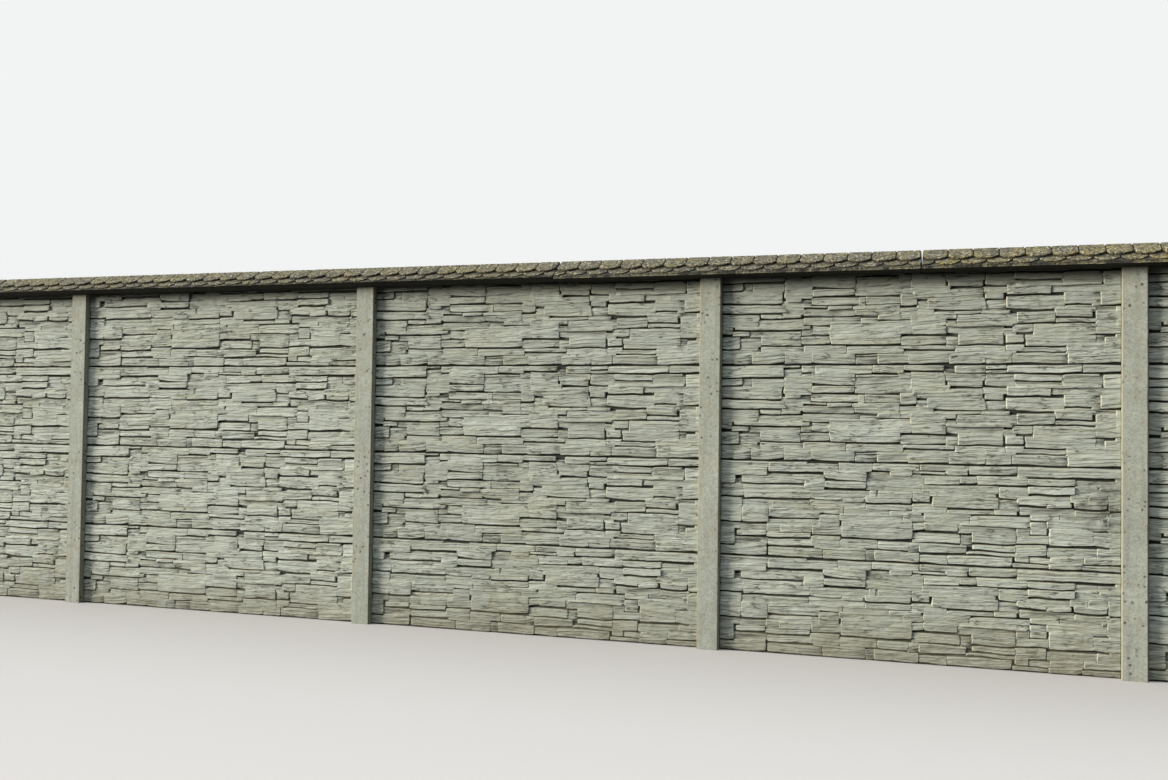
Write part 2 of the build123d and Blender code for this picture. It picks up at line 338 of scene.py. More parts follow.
SECOND_MOULD = [
    (-972, -722, 456, 495, 13), (-972, -722, 418, 454, 16), (-972, -888, 378, 418, 18),
    (-862, -535, 380, 413, 11), (-850, -495, 306, 376, 15, -12, 0), (-972, -850, 310, 365, 10),
    (-972, -850, 252, 308, 11), (-845, -620, 250, 296, 9), (-860, -712, 178, 250, 17),
    (-972, -865, 178, 248, 16), (-700, -500, 256, 296, 12), (-705, -612, 244, 256, 12),
    (-700, -445, 205, 238, 10), (-678, -445, 160, 205, 9), (-865, -720, 143, 168, 9),
    (-972, -890, 58, 138, 15), (-885, -725, 108, 137, 14), (-720, -495, 104, 128, 13),
    (-660, -490, 128, 155, 10), (-885, -725, 60, 98, 8), (-720, -495, 60, 95, 10),
    (-972, -885, 5, 52, 12), (-885, -722, 5, 56, 12), (-720, -455, 5, 50, 12),
    (-720, -515, 484, 496, 15), (-720, -352, 443, 480, 17), (-720, -600, 415, 432, 8),
    (-535, -438, 352, 400, 15), (-600, -440, 403, 432, 10), (-435, -215, 408, 437, 17),
    (-432, -218, 366, 404, 17), (-205, 45, 355, 432, 10), (-480, -205, 318, 348, 10),
    (-480, -345, 305, 318, 15), (-342, -228, 297, 316, 16), (-498, -482, 310, 345, 13),
    (-205, -165, 325, 350, 11), (-162, 5, 322, 350, 11), (-225, 5, 296, 318, 13),
    (-480, -230, 262, 298, 8), (-225, 10, 262, 290, 13), (-480, -330, 235, 258, 10),
    (-325, -112, 232, 250, 9), (-108, 55, 235, 250, 12), (-455, -350, 165, 232, 13),
    (-345, -32, 196, 232, 11), (-345, 12, 116, 190, 17), (-30, 58, 165, 205, 15),
    (-500, -445, 165, 200, 9), (-480, -355, 125, 155, 10), (-485, -345, 62, 118, 13),
    (-342, -190, 62, 108, 11), (-165, -5, 60, 105, 12), (-440, -215, 5, 48, 12),
    (-180, 45, 5, 40, 12), (45, 180, 5, 45, 12), (-480, -215, 50, 60, 10),
    (-348, -185, 452, 496, 16), (-183, 45, 458, 496, 15), (-105, 10, 434, 443, 14),
    (45, 270, 468, 496, 14), (10, 165, 448, 463, 12), (165, 275, 446, 462, 15),
    (275, 495, 455, 495, 16), (500, 940, 446, 493, 17), (10, 55, 400, 436, 12),
    (55, 310, 425, 440, 10), (60, 225, 398, 420, 12), (230, 310, 405, 440, 13),
    (312, 540, 402, 448, 14), (50, 410, 358, 396, 12), (5, 95, 305, 350, 14),
    (100, 410, 335, 356, 12), (100, 418, 285, 330, 15), (415, 545, 345, 395, 13),
    (415, 505, 338, 345, 13), (420, 500, 285, 330, 8), (15, 170, 255, 300, 12),
    (170, 390, 255, 276, 12), (392, 505, 257, 278, 14), (60, 290, 235, 252, 12),
    (60, 285, 203, 230, 12), (290, 550, 212, 248, 9), (60, 230, 165, 197, 15),
    (232, 555, 198, 211, 19), (235, 500, 163, 190, 9), (35, 240, 108, 152, 11),
    (40, 270, 90, 103, 12), (290, 500, 112, 150, 12), (290, 500, 78, 110, 11),
    (508, 640, 122, 150, 11), (508, 640, 62, 120, 12), (40, 270, 58, 85, 11),
    (-5, 40, 50, 100, 9), (300, 500, 55, 72, 10), (195, 485, 5, 50, 11),
    (490, 560, 30, 50, 12), (490, 640, 5, 26, 9), (548, 770, 407, 440, 17),
    (550, 768, 366, 402, 17), (775, 870, 395, 432, 11), (870, 972, 390, 410, 14),
    (870, 938, 412, 430, 9), (942, 972, 415, 493, 12), (795, 972, 360, 388, 9),
    (508, 750, 328, 350, 10), (508, 640, 308, 325, 15), (645, 755, 300, 322, 15),
    (755, 820, 325, 350, 10), (820, 905, 322, 352, 12), (760, 910, 298, 320, 13),
    (910, 972, 292, 345, 14), (510, 750, 262, 298, 8), (760, 905, 262, 290, 13),
    (560, 700, 235, 258, 10), (700, 875, 234, 254, 8), (880, 910, 236, 254, 12),
    (915, 972, 235, 285, 13), (558, 640, 165, 230, 13), (645, 910, 196, 232, 11),
    (645, 850, 118, 190, 17), (855, 945, 118, 190, 14), (950, 972, 100, 230, 9),
    (645, 855, 62, 108, 9), (860, 972, 62, 112, 12), (650, 800, 30, 60, 10),
    (800, 945, 34, 60, 12), (800, 972, 5, 28, 10), (645, 800, 5, 28, 11),
    (912, 945, 192, 232, 12),
    (-972, -886, 138, 176, 8), (-890, -860, 372, 402, 6), (-720, -658, 130, 165, 9),
    (-718, -678, 165, 186, 5), (-216, -180, 5, 58, 8), (-200, -104, 430, 452, 6),
    (-28, 56, 205, 236, 10), (240, 294, 104, 142, 6), (268, 302, 58, 80, 10),
    (495, 560, 156, 194, 10), (555, 645, 28, 62, 10), (903, 918, 255, 296, 10),
]
# Deep pockets of each mould, where no stone stands: middle, height and size.
FIRST_POCKETS = [(192, 485, 26, 16), (190, 144, 30, 12), (-930, 333, 20, 15)]
SECOND_POCKETS = [(-876, 410, 26, 14), (-698, 190, 24, 26), (-203, 378, 22, 30),
                  (256, 150, 26, 16), (781, 380, 18, 24)]
# The mould of each panel, from the ground up, by bay: F is the first, S the second.
MOULD_OF_PANEL = {1: "FSSS", 2: "FFSS", 3: "SFFF", 4: "SSFF", 5: "SFFF"}
# How pale the concrete of each bay is, from 0 to 0.5
BAY_TONES = {1: 0.5, 2: 0.5, 3: 0.12, 4: 0.12, 5: 0.1}


def close_up(stones):
    """Stones as the mould holds them. Each face leans back, so a stone stands out
    further at its foot than at its top. Where two neighbours are within reach, the one
    that lies lower at their joint grows. Below the foot of a stone that stands well
    proud it leaves most of the gap as a dark groove, and elsewhere it grows in under
    its neighbour."""
    box = np.array([stone[:5] for stone in stones], float)
    box[:, 0] = np.where(box[:, 0] < LEFT_END_FROM, -VISIBLE_HALF, box[:, 0])
    box[:, 1] = np.where(box[:, 1] > RIGHT_END_FROM, VISIBLE_HALF, box[:, 1])
    box[:, 2] = np.where(box[:, 2] < FOOT_FROM, EDGE_MARGIN, box[:, 2])
    box[:, 3] = np.where(box[:, 3] > TOP_FROM, PANEL_HEIGHT - EDGE_MARGIN, box[:, 3])
    foot = box[:, 4] + FOOT_MORE
    top = foot - np.minimum(0.8 + LEAN_BACK * (box[:, 3] - box[:, 2]), foot * 0.45)
    middle = (foot + top) / 2
    box = np.column_stack([box[:, :4], foot, top])
    for side, other, low, high, way, own, theirs, step, most in (
            (3, 2, 0, 1, 1, top, foot, FOOT_STEP, CLOSE_REACH),
            (2, 3, 0, 1, -1, foot, top, PROUDEST, CLOSE_REACH),
            (1, 0, 2, 3, 1, middle, middle, PROUDEST, END_CLOSE_REACH),
            (0, 1, 2, 3, -1, middle, middle, PROUDEST, END_CLOSE_REACH)):
        for number, stone in enumerate(box):
            shared = np.minimum(box[:, high], stone[high]) - np.maximum(box[:, low], stone[low])
            gap = way * (box[:, other] - stone[side])
            rise = theirs - own[number]
            beside = (shared > 5) & (gap > -9) & (gap < most)
            beside[number] = False
            limit = gap[beside & (rise < 0)].min(initial=most + 9)
            groove = np.clip(GROOVE_SHARE * gap, *GROOVE_WIDTHS)
            reach = gap + np.where(rise > step, -groove, UNDER)
            reach = reach[beside & (rise >= 0) & (reach <= limit)]
            if len(reach):
                stone[side] += way * reach.max()
    return box


def stone_block(stone, leans, rng):
    """One stone as a closed grid. Columns run from its left end to its right and rows
    from its bed up. The outermost ring lies inside the slab, the next one ends the
    drafted side and the third eases the arris. The face's height goes evenly from the
    foot's to the top's, with a small tilt along the stone, steps on the lines where the
    stone split, which run out along it, terraces, and noise drawn out along it; at the
    sides it comes down to the slab. The second array is 1 on the left and upper arris."""
    left, right, low, high, foot, top = stone
    long, tall = right - left, high - low
    draft = rng.uniform(DRAFT_FROM, DRAFT_TO)
    draft[:2] = np.where([left <= -VISIBLE_HALF, right >= VISIBLE_HALF], 1, draft[:2])
    draft = np.minimum(draft, [long / 4] * 2 + [tall / 4] * 2)
    ease = min(STONE_EASE, tall / 8)
    inner = [draft[0] + ease, long - draft[1] - ease]
    across = np.linspace(*inner, max(2, round((inner[1] - inner[0]) / FACE_CELL_LONG) + 1))
    across = np.concatenate([[0, draft[0]], across, [long - draft[1], long]])
    inner = [draft[2] + ease, tall - draft[3] - ease]
    up = np.linspace(*inner, max(2, round((inner[1] - inner[0]) / FACE_CELL_HIGH) + 1))
    splits = rng.uniform(SPLIT_FROM, SPLIT_TO) * tall
    splits = splits[:int(tall > ONE_SPLIT) + int(tall > TWO_SPLITS)]
    for split in splits:
        up = np.sort(np.concatenate([up[np.abs(up - split) > 4], [split - 0.8, split + 0.8]]))
    up = np.concatenate([[0, draft[2]], up, [tall - draft[3], tall]])
    u, v = across[:, None] / long, up[None, :] / tall
    ring = lambda count: np.minimum(np.arange(count), np.arange(count)[::-1])
    side = np.minimum(ring(len(across))[:, None], ring(len(up))[None, :])
    x = left + across[:, None] + (v - 0.5) * (leans[0] * (1 - u) + leans[1] * u)
    z = low + up[None, :] + 0 * u
    cut = rng.uniform(*CORNER_CUT, 4)
    near = np.clip(1 - np.stack([up, tall - up]) / CORNER_REACH, 0, 1) ** 2
    hold = np.clip((VISIBLE_HALF - np.abs(x)) / 25, 0, 1)
    x = x + hold * (near[0] * cut[0] + near[1] * cut[1]) * (1 - u)
    x = x - hold * (near[0] * cut[2] + near[1] * cut[3]) * u
    tilt = rng.uniform(-1, 1) * min(2.4, 0.4 + long / 110)
    step = 0
    for split in splits:
        fade = np.clip(rng.uniform(-0.3, 0.5) + 3 * (u if rng.uniform() < 0.5 else 1 - u), 0, 1)
        step = step + rng.uniform(*SPLIT_STEP) * fade * ((up[None, :] > split) - 0.5)
    rough = 1.6 * smooth_noise(x, z, 74, 17, 21) + 1.0 * smooth_noise(x, z, 43, 12, 22)
    rough += 1.1 * np.round(2.0 * smooth_noise(x, z, 130, 19, 27))
    fall = rng.uniform(*END_FALL) * np.clip(1 - (1 - u) * long / END_FALL_REACH, 0, 1) ** 1.5
    face = foot + (top - foot) * v + tilt * (2 * u - 1) + step + rough - fall
    face = np.clip(face, 4, PROUDEST)
    height = np.select([side == 0, side == 1], [-SUNK, face - np.minimum(1.4, face / 6)], face)
    # every edge wanders with the same noise, so neighbours still meet, and each is a
    # little out of level, so that the grooves taper
    slopes = rng.uniform(-1, 1, 3) * [min(3.8, long / 45), min(2.2, long / 70), tall / 6]
    z = z + (2 * u - 1) * (slopes[0] * (1 - v) + slopes[1] * v + slopes[2] * 4 * v * (1 - v))
    shift, bow = rng.uniform(0, 900), rng.uniform(0, 1) * min(5, tall / 12)
    sag = 2.4 * smooth_noise(x + shift, shift + 0 * x, 95, 40, 29) + bow * (2 * u - 1) ** 4
    z = z + sag * (1 - v)
    edge_x = x + 2.4 * hold * smooth_noise(x, z, 60, 19, 23)
    edge_z = z + 2.5 * smooth_noise(x, z, 85, 60, 24) + 1.4 * smooth_noise(x, z, 26, 40, 25)
    edge_x = np.clip(edge_x, -VISIBLE_HALF, VISIBLE_HALF)
    edge_z = np.clip(edge_z, EDGE_BEVEL, PANEL_HEIGHT - EDGE_BEVEL)
    # 1 on the left and upper arris, where the panel material paints a highlight
    arris = 0 * height
    arris[:2] = arris[:, -2:] = 1
    return np.stack([edge_x, -SLAB_HALF - height, edge_z], -1), arris


def grid_shell(points):
    """Quads for a grid of points whose rim lies hidden, and one face that closes it."""
    columns, rows = points.shape[:2]
    index = np.arange(columns * rows).reshape(columns, rows)
    quads = np.stack([index[:-1, :-1], index[1:, :-1], index[1:, 1:], index[:-1, 1:]], -1)
    rim = np.concatenate([index[:, 0], index[-1, 1:], index[-2::-1, -1], index[0, -2:0:-1]])
    return quads.reshape(-1, 4).tolist() + [rim[::-1].tolist()]


def bed_block(pockets):
    """What lies between and behind the stones: one low grid over the whole face, whose
    height is BED_HEIGHT plus noise drawn out along the panel, and which dips to the slab
    in each pocket by a product of two smooth steps."""
    x = np.linspace(-VISIBLE_HALF, VISIBLE_HALF, 50)
    z = np.linspace(2, PANEL_HEIGHT - 2, 30)
    x, z = np.meshgrid(x, z, indexing="ij")
    height = BED_HEIGHT + 1.2 * smooth_noise(x, z, 70, 18, 26)
    for middle, level, long, tall in pockets:
        inside = np.clip(1.6 - np.abs(x - middle) / long * 2, 0, 1)
        inside *= np.clip(1.6 - np.abs(z - level) / tall * 2, 0, 1)
        height -= (BED_HEIGHT - 0.5) * inside
    height[[0, -1], :] = -SUNK
    height[:, [0, -1]] = -SUNK
    return np.stack([x, -SLAB_HALF - height, z], -1)


def slab_surface():
    """The slab's outline, a long rectangle with cut corners, carried up its height and
    drawn in by EDGE_BEVEL at the top and the foot, so that a seam shows between two
    panels on the flat back."""
    w, d, c = PANEL_LENGTH / 2, SLAB_HALF, SLAB_CHAMFER
    outline = np.array([(-w, -d + c), (-w + c, -d), (w - c, -d), (w, -d + c),
                        (w, d - c), (w - c, d), (-w + c, d), (-w, d - c)], float)
    rings = []
    for level, inset in ((0, EDGE_BEVEL), (EDGE_BEVEL, 0), (PANEL_HEIGHT - EDGE_BEVEL, 0),
                         (PANEL_HEIGHT, EDGE_BEVEL)):
        ring = outline * (1 - inset / np.abs(outline))
        rings.append(np.column_stack([ring, np.full(8, level)]))
    faces = tube_quads(4, 8).tolist() + [list(range(8))[::-1], list(range(24, 32))]
    return np.concatenate(rings), faces


def panel_relief(stones, pockets, seed):
    """The whole panel: slab, bed and stones, with three values for each point. Tone
    tells the stones apart, recess rises from 0 on a proud face to 1 down at the slab, and
    arris is 1 on the left and upper edges."""
    rng = np.random.default_rng(seed)
    points, faces = slab_surface()
    all_points, all_faces = [points], faces
    # the slab's seams and its front take full recess, so they are painted dark as shade too
    seam = np.abs(points[:, 2] - PANEL_HEIGHT / 2) > PANEL_HEIGHT / 2 - 1
    values = [np.column_stack([0 * seam, seam | (points[:, 1] < -SLAB_HALF + 2), 0 * seam])]
    count = len(points)
    bed = bed_block(pockets)
    blocks = [(bed, np.zeros(bed.shape[:2]), 0.3)]
    for stone, row in zip(close_up(stones), stones):
        blocks.append((*stone_block(stone, (*row[5:], 0, 0)[:2], rng), rng.uniform()))
    for block, arris, tone in blocks:
        flat, arris = block.reshape(-1, 3), arris.ravel()
        all_points.append(flat)
        all_faces += [[corner + count for corner in face] for face in grid_shell(block)]
        # recess sets the painted shade of the panel material, and is weaker on the arrises
        recess = np.clip(1 + (flat[:, 1] + SLAB_HALF) / 13, 0, 1) * (1 - 0.75 * arris)
        values.append(np.column_stack([0 * arris + tone, recess, arris]))
        count += len(flat)
    return np.concatenate(all_points), all_faces, np.concatenate(values)


# Weathered grey concrete off a rubber mould: dead matt, every stone a slightly different
# grey, fine ridges along the cleft, warm lime and algae stains that run along the
# courses, and dirt splashed up along the foot. Painted shade darkens the recesses, the
# cleft lines and a band below the eaves, and a painted highlight lies along the left
# and upper arrises.
panel_concrete = blank_material("panel_split_stone_concrete")
where = add(panel_concrete, "TexCoord").outputs["Object"]
tones = add(panel_concrete, "Attribute", {"attribute_name": "tone"}).outputs["Fac"]
recess = add(panel_concrete, "Attribute", {"attribute_name": "recess"}).outputs["Fac"]
place = add(panel_concrete, "SeparateXYZ", None, {0: where})
tone = add(panel_concrete, "Mix",
           {"data_type": "RGBA", 6: linear("#9C9F92"), 7: linear("#C2C5B7")}, {0: tones}).outputs[2]
# each layer: size of its patches along, through and up in metres, the part of the noise
# that it shows in, how much it covers at most, and its colour
PANEL_STAINS = [
    ((0.60, 0.6, 0.45), 0.45, 0.70, 0.45, "#A09F88"),
    ((0.35, 0.3, 0.05), 0.50, 0.72, 0.45, "#B2AC8E"),
    ((0.22, 0.2, 0.09), 0.52, 0.72, 0.50, "#9FA6A0"),
    ((0.12, 0.1, 0.011), 0.50, 0.70, 0.40, "#86877A"),
    ((0.05, 0.05, 0.006), 0.52, 0.72, 0.30, "#C2C0AE"),
    ((0.003, 0.003, 0.003), 0.50, 0.75, 0.25, "#76766B"),
]
for size, start, end, cover, colour in PANEL_STAINS:
    stretch = add(panel_concrete, "Mapping", {"Scale": tuple(1 / part for part in size)},
                  {"Vector": where})
    patches = add(panel_concrete, "TexNoise", {"Scale": 1.0, "Detail": 4.0, "Roughness": 0.6},
                  {"Vector": stretch})
    tone = stain_and_shade(panel_concrete, tone, colour, patches, start, end, cover)
# 1 on the stone face and 0 on the back, which was floated smooth in the mould
front = add(panel_concrete, "MapRange",
            {"From Min": -0.0158, "From Max": -0.0148, "To Min": 1.0, "To Max": 0.0},
            {"Value": place.outputs["Y"]})
# painted shade: thin dark lines of the cleft, standing for the shaded undersides of its small
# steps, where a noise drawn out along the course passes one height
stretch = add(panel_concrete, "Mapping", {"Scale": (4.0, 4.0, 30.0)}, {"Vector": where})
layers = add(panel_concrete, "TexNoise", {"Scale": 1.0, "Detail": 3.0, "Roughness": 0.6},
             {"Vector": stretch})
line = add(panel_concrete, "Math", {"operation": "PINGPONG", 1: 0.075}, {0: layers})
line = add(panel_concrete, "MapRange",
           {"From Min": 0.009, "From Max": 0.025, "To Min": 1.0, "To Max": 0.0}, {"Value": line})
broken = add(panel_concrete, "TexNoise", {"Scale": 12.0, "Detail": 2.0}, {"Vector": where})
broken = add(panel_concrete, "MapRange", {"From Min": 0.5, "From Max": 0.6, "To Max": 0.8},
             {"Value": broken})
cleft = add(panel_concrete, "Math", {"operation": "MULTIPLY"}, {0: line, 1: broken})
cleft = add(panel_concrete, "Math", {"operation": "MULTIPLY"}, {0: cleft, 1: front})
tone = add(panel_concrete, "Mix", {"data_type": "RGBA", 7: linear("#4B4A3F")},
           {0: cleft, 6: tone}).outputs[2]
# painted highlight: a pale cream colour in patches along the left and upper arrises, the sides
# that face the main lamp
edge = add(panel_concrete, "Attribute", {"attribute_name": "arris"}).outputs["Fac"]
patchy = add(panel_concrete, "TexNoise", {"Scale": 9.0, "Detail": 3.0}, {"Vector": where})
patchy = add(panel_concrete, "MapRange",
             {"From Min": 0.38, "From Max": 0.6, "To Min": 0.15, "To Max": 0.95}, {"Value": patchy})
edge = add(panel_concrete, "Math", {"operation": "MULTIPLY"}, {0: edge, 1: patchy})
tone = add(panel_concrete, "Mix", {"data_type": "RGBA", 7: linear("#AEAA93")},
           {0: edge, 6: tone}).outputs[2]
# painted shade in the recesses, strongest near the slab, and on the slab's seams and front
tone = stain_and_shade(panel_concrete, tone, "#201F1A", recess, 0.4, 0.8, 0.95)
# dirt splashed up to some 300 mm, in a ragged edge
ragged = add(panel_concrete, "TexNoise", {"Scale": 7.0, "Detail": 6.0, "Roughness": 0.65},
             {"Vector": where})
level = add(panel_concrete, "Math", {"operation": "MULTIPLY_ADD", 1: -0.55},
            {0: ragged, 2: place.outputs["Z"]})
tone = stain_and_shade(panel_concrete, tone, "#857F69", level, 0.02, -0.34, 0.75)
# painted shadow: a dark band just below the eaves, where the coping's shadow falls on the face
eaves_shade = add(panel_concrete, "MapRange",
              {"interpolation_type": "SMOOTHSTEP", "From Min": 1.875, "From Max": 1.955,
               "To Max": 0.6}, {"Value": place.outputs["Z"]})
tone = add(panel_concrete, "Mix", {"data_type": "RGBA", 7: linear("#2F2F28")},
           {0: eaves_shade, 6: tone}).outputs[2]
# one dark patch of mould beside the fifth post, on the second panel up, some 300 mm wide
patch = add(panel_concrete, "Mapping",
            {"Location": (-50.6, 0.0, -3.2), "Scale": (6.25, 0.0, 4.0)}, {"Vector": where})
patch = add(panel_concrete, "VectorMath", {"operation": "LENGTH"}, {0: patch})
patch = add(panel_concrete, "MapRange",
            {"From Min": 0.1, "From Max": 1.0, "To Min": 0.7, "To Max": 0.0},
            {"Value": patch.outputs["Value"]})
mould = add(panel_concrete, "TexNoise", {"Scale": 16.0, "Detail": 6.0, "Roughness": 0.7},
            {"Vector": where})
mould = add(panel_concrete, "MapRange", {"From Min": 0.4, "From Max": 0.6}, {"Value": mould})
mould = add(panel_concrete, "Math", {"operation": "MULTIPLY"}, {0: patch, 1: mould})
mould = add(panel_concrete, "Math", {"operation": "MULTIPLY"}, {0: mould, 1: front})
tone = add(panel_concrete, "Mix", {"data_type": "RGBA", 7: linear("#4A463A")},
           {0: mould, 6: tone}).outputs[2]
# ridges of the cleft, with terraces where layers broke off, then sand grains of 3 mm
relief = None
PANEL_RIDGES = [((0.18, 0.18, 0.018), 0.1, 3.6), ((0.07, 0.07, 0.014), 0.0, 3.0),
                ((0.025, 0.025, 0.007), 0.0, 0.9), ((0.004, 0.004, 0.004), 0.0, 0.35)]
for size, terrace, height in PANEL_RIDGES:
    stretch = add(panel_concrete, "Mapping", {"Scale": tuple(1 / part for part in size)},
                  {"Vector": where})
    ridges = add(panel_concrete, "TexNoise", {"Scale": 1.0, "Detail": 2.0}, {"Vector": stretch})
    if terrace:
        ridges = add(panel_concrete, "Math", {"operation": "SNAP", 1: terrace}, {0: ridges})
    below = {2: relief} if relief else {}
    relief = add(panel_concrete, "Math", {"operation": "MULTIPLY_ADD", 1: height, 2: 0.0},
                 {0: ridges, **below})
# the floated back keeps only a third of this relief
strength = add(panel_concrete, "MapRange", {"To Min": 0.35, "To Max": 1.0}, {"Value": front})
bump = add(panel_concrete, "Bump", {"Distance": 0.003}, {"Height": relief, "Strength": strength})
surface = add(panel_concrete, "BsdfPrincipled", {"Roughness": 0.92, "IOR": 1.5},
              {"Base Color": tone, "Normal": bump})
add(panel_concrete, "OutputMaterial", None, {"Surface": surface})

reliefs = {"F": panel_relief(FIRST_MOULD, FIRST_POCKETS, 5),
           "S": panel_relief(SECOND_MOULD, SECOND_POCKETS, 6)}
for bay, moulds in MOULD_OF_PANEL.items():
    for row, mould in enumerate(moulds, 1):
        points, faces, values = reliefs[mould]
        middle = [(bay - 0.5) * POST_PITCH, 0, (row - 1) * PANEL_HEIGHT]
        panel = make_piece(f"stone_face_panel_{bay}_{row}", points + middle, faces,
                           panel_concrete, [f"panel_{bay}_{row}"], 22)
        tone = 0.65 * values[:, 0] + BAY_TONES[bay]
        for name, value in (("tone", tone), ("recess", values[:, 1]), ("arris", values[:, 2])):
            panel.data.attributes.new(name, "FLOAT", "POINT").data.foreach_set("value", value)


# The coping
# Bars of brown-grey concrete with coarse grit, cast upside down in a mould: two courses
# of round-ended shingles on each slope, a straight edge below them, and a channel that
# straddles the top panel. They lie end to end, with open joints, bedded on the posts.
COPING_STARTS = [-523, 1419, 3361, 5303, 7245, 9187]
COPING_LENGTH = 1934
FENCE_START = -73
FENCE_END = 10348
RIDGE_HEIGHT = 2083
SLOPE = np.radians(30)
SHINGLES = 16
UPPER_REACH = 116
LOWER_REACH = 162
EDGE_REACH = 164
UPPER_THICK = 13
LOWER_THICK = 7
UPPER_ROUND = 33
LOWER_ROUND = 38
JOINT_WIDTH = 5
JOINT_DEPTH = 6
# how low the straight edge of each unit reaches: three of them were cast thinner
EDGE_FEET = [1982, 1982, 1982, 1970.8, 1970.8, 1970.8]
SOFFIT_HALF = 98
SOFFIT_HEIGHT = 1966
SEAT_HALF = 60
SEAT_HEIGHT = 1960
CHANNEL_HALF = 38
CHANNEL_TOP = 2000


def shingle_course(x, start, stagger, roundness, power, rng):
    """For each place x along the unit, three values of one course: how far its butt
    draws back from a straight line, how deep the joint cuts, and how far the shingle's
    face lies low. The butt draws back by roundness times |2u-1| to a power, with u from
    0 to 1 across the shingle, and each shingle has its own small shifts."""
    width = COPING_LENGTH / SHINGLES
    u = (x - start) / width + stagger
    which, u = np.floor(u).astype(int), u - np.floor(u)
    longer, lower, skew = rng.uniform(0, [4, 1.4, 1], (SHINGLES + 3, 3)).T
    back = roundness * np.abs(2 * u - 1) ** power
    back = back + longer[which] + (skew[which] - 0.5) * 6 * (u - 0.5)
    from_joint = np.minimum(u, 1 - u) * width
    joint = JOINT_DEPTH * np.clip((JOINT_WIDTH / 2 + 1.2 - from_joint) / 1.2, 0, 1)
    face = lower[which] + 1.5 * np.clip(1 - from_joint / 9, 0, 1) ** 2
    return back, joint, face


def coping_half(x, start, edge_foot, side, seed):
    """Half of the section at each x, from the ridge out over both courses, down the
    eaves, in along the seat and up the channel. A point lies s down the slope and b
    below it, so its y is s*cos - b*sin and its z is the ridge's height - s*sin - b*cos,
    and the butts are short runs of b at one s. Below the lower butts a straight edge
    drops upright. The last array says how dark each point is painted: dirt in the
    joints and in patches along the edge, and painted shade at the foot of the butts, on
    the right flanks of the lower butts and over the whole underside."""
    rng = np.random.default_rng(seed)
    back, joint, face = shingle_course(x, start, 0.0, UPPER_ROUND, 2.6, rng)
    back_low, joint_low, face_low = shingle_course(x, start, 0.5, LOWER_ROUND, 2.8, rng)
    upper = UPPER_REACH - back
    lower = np.maximum(LOWER_REACH - np.maximum(back_low, 1.5), upper + 4)
    ridge = 5 + 0 * x
    s, b = [ridge * 0.4], [joint + 0.6 + 0.7 * face]
    for share in (0.06, 0.28, 0.5, 0.72, 0.93):
        s.append(ridge + share * (upper - ridge))
        b.append(joint + face)
    s += [upper - 1, upper, upper - 1.0, upper - 2.5]
    b += [np.maximum(joint, 1.4) + face, np.maximum(joint, 4) + face,
          0 * x + UPPER_THICK - 4, 0 * x + UPPER_THICK]
    for share in (0.2, 0.55, 0.88):
        s.append(upper + share * (lower - upper))
        b.append(UPPER_THICK + 0.8 * joint_low + face_low)
    base = 0 * x + UPPER_THICK + LOWER_THICK
    chip = smooth_noise(x, 0 * x, 17, 10, seed + 71)
    chip = np.clip(chip + 0.4 * smooth_noise(x, 0 * x, 7, 10, seed + 72), 0, 1)
    s += [lower - 1, lower, lower - 1.5, EDGE_REACH - 1.5 - 4 * chip, EDGE_REACH - 2 * chip]
    b += [UPPER_THICK + 1 + face_low, UPPER_THICK + 2.5 + face_low, base, base, base + 2 + 3 * chip]
    s, b = np.array(s).T, np.array(b).T
    # dirt in the joints, and painted shade at the foot of both butts and on the right flanks of
    # the lower butts, the side away from the main lamp
    dirt_and_shade = np.zeros(s.shape)
    dirt_and_shade[:, :10] = joint[:, None] > 1
    dirt_and_shade[:, 10:15] = 0.8 * (joint_low[:, None] > 1)
    dirt_and_shade[:, 8:] = np.maximum(dirt_and_shade[:, 8:], [0.25, 0.95, 0.6, 0, 0, 0, 0.1, 0.9, 0.3, 0.1])
    # painted shade on the right flank of each lower butt
    flank = np.clip(1.5 * np.gradient(back_low, x), 0, 1)[:, None]
    dirt_and_shade[:, 14:17] = np.maximum(dirt_and_shade[:, 14:17], flank * [0.85, 1, 0.6])
    pitted = smooth_noise(x[:, None] + 0 * s, s, 13, 15, seed + 50)
    b = b + np.clip(1.8 * pitted, -0.6, 1.8) + 0.6
    y = s * np.cos(SLOPE) - b * np.sin(SLOPE)
    z = RIDGE_HEIGHT - s * np.sin(SLOPE) - b * np.cos(SLOPE)
    ragged = 1.5 * np.clip(smooth_noise(x, 0 * x, 11, 10, seed + 73), 0, 1)
    foot = [(y[:, -1] - 0.8, edge_foot + ragged), (y[:, -1] - 4, 0 * x + edge_foot - 0.5),
            (0 * x + SOFFIT_HALF, 0 * x + SOFFIT_HEIGHT),
            (0 * x + SEAT_HALF, 0 * x + SEAT_HEIGHT), (0 * x + CHANNEL_HALF, 0 * x + SEAT_HEIGHT),
            (0 * x + CHANNEL_HALF, 0 * x + CHANNEL_TOP)]
    # dirt in patches along the straight edge; from the edge's foot in, the underside is painted
    # fully dark as shade
    patches = np.clip(0.3 + 1.1 * smooth_noise(x, 0 * x, 34, 10, seed + 74), 0, 0.9)
    dirt_and_shade[:, -2:] = np.maximum(dirt_and_shade[:, -2:], patches[:, None])
    dirt_and_shade = np.column_stack([dirt_and_shade, patches] + [0 * x + 1 for p in foot[1:]])
    y = np.column_stack([y] + [p[0] for p in foot])
    z = np.column_stack([z] + [p[1] for p in foot])
    return side * y, z, dirt_and_shade


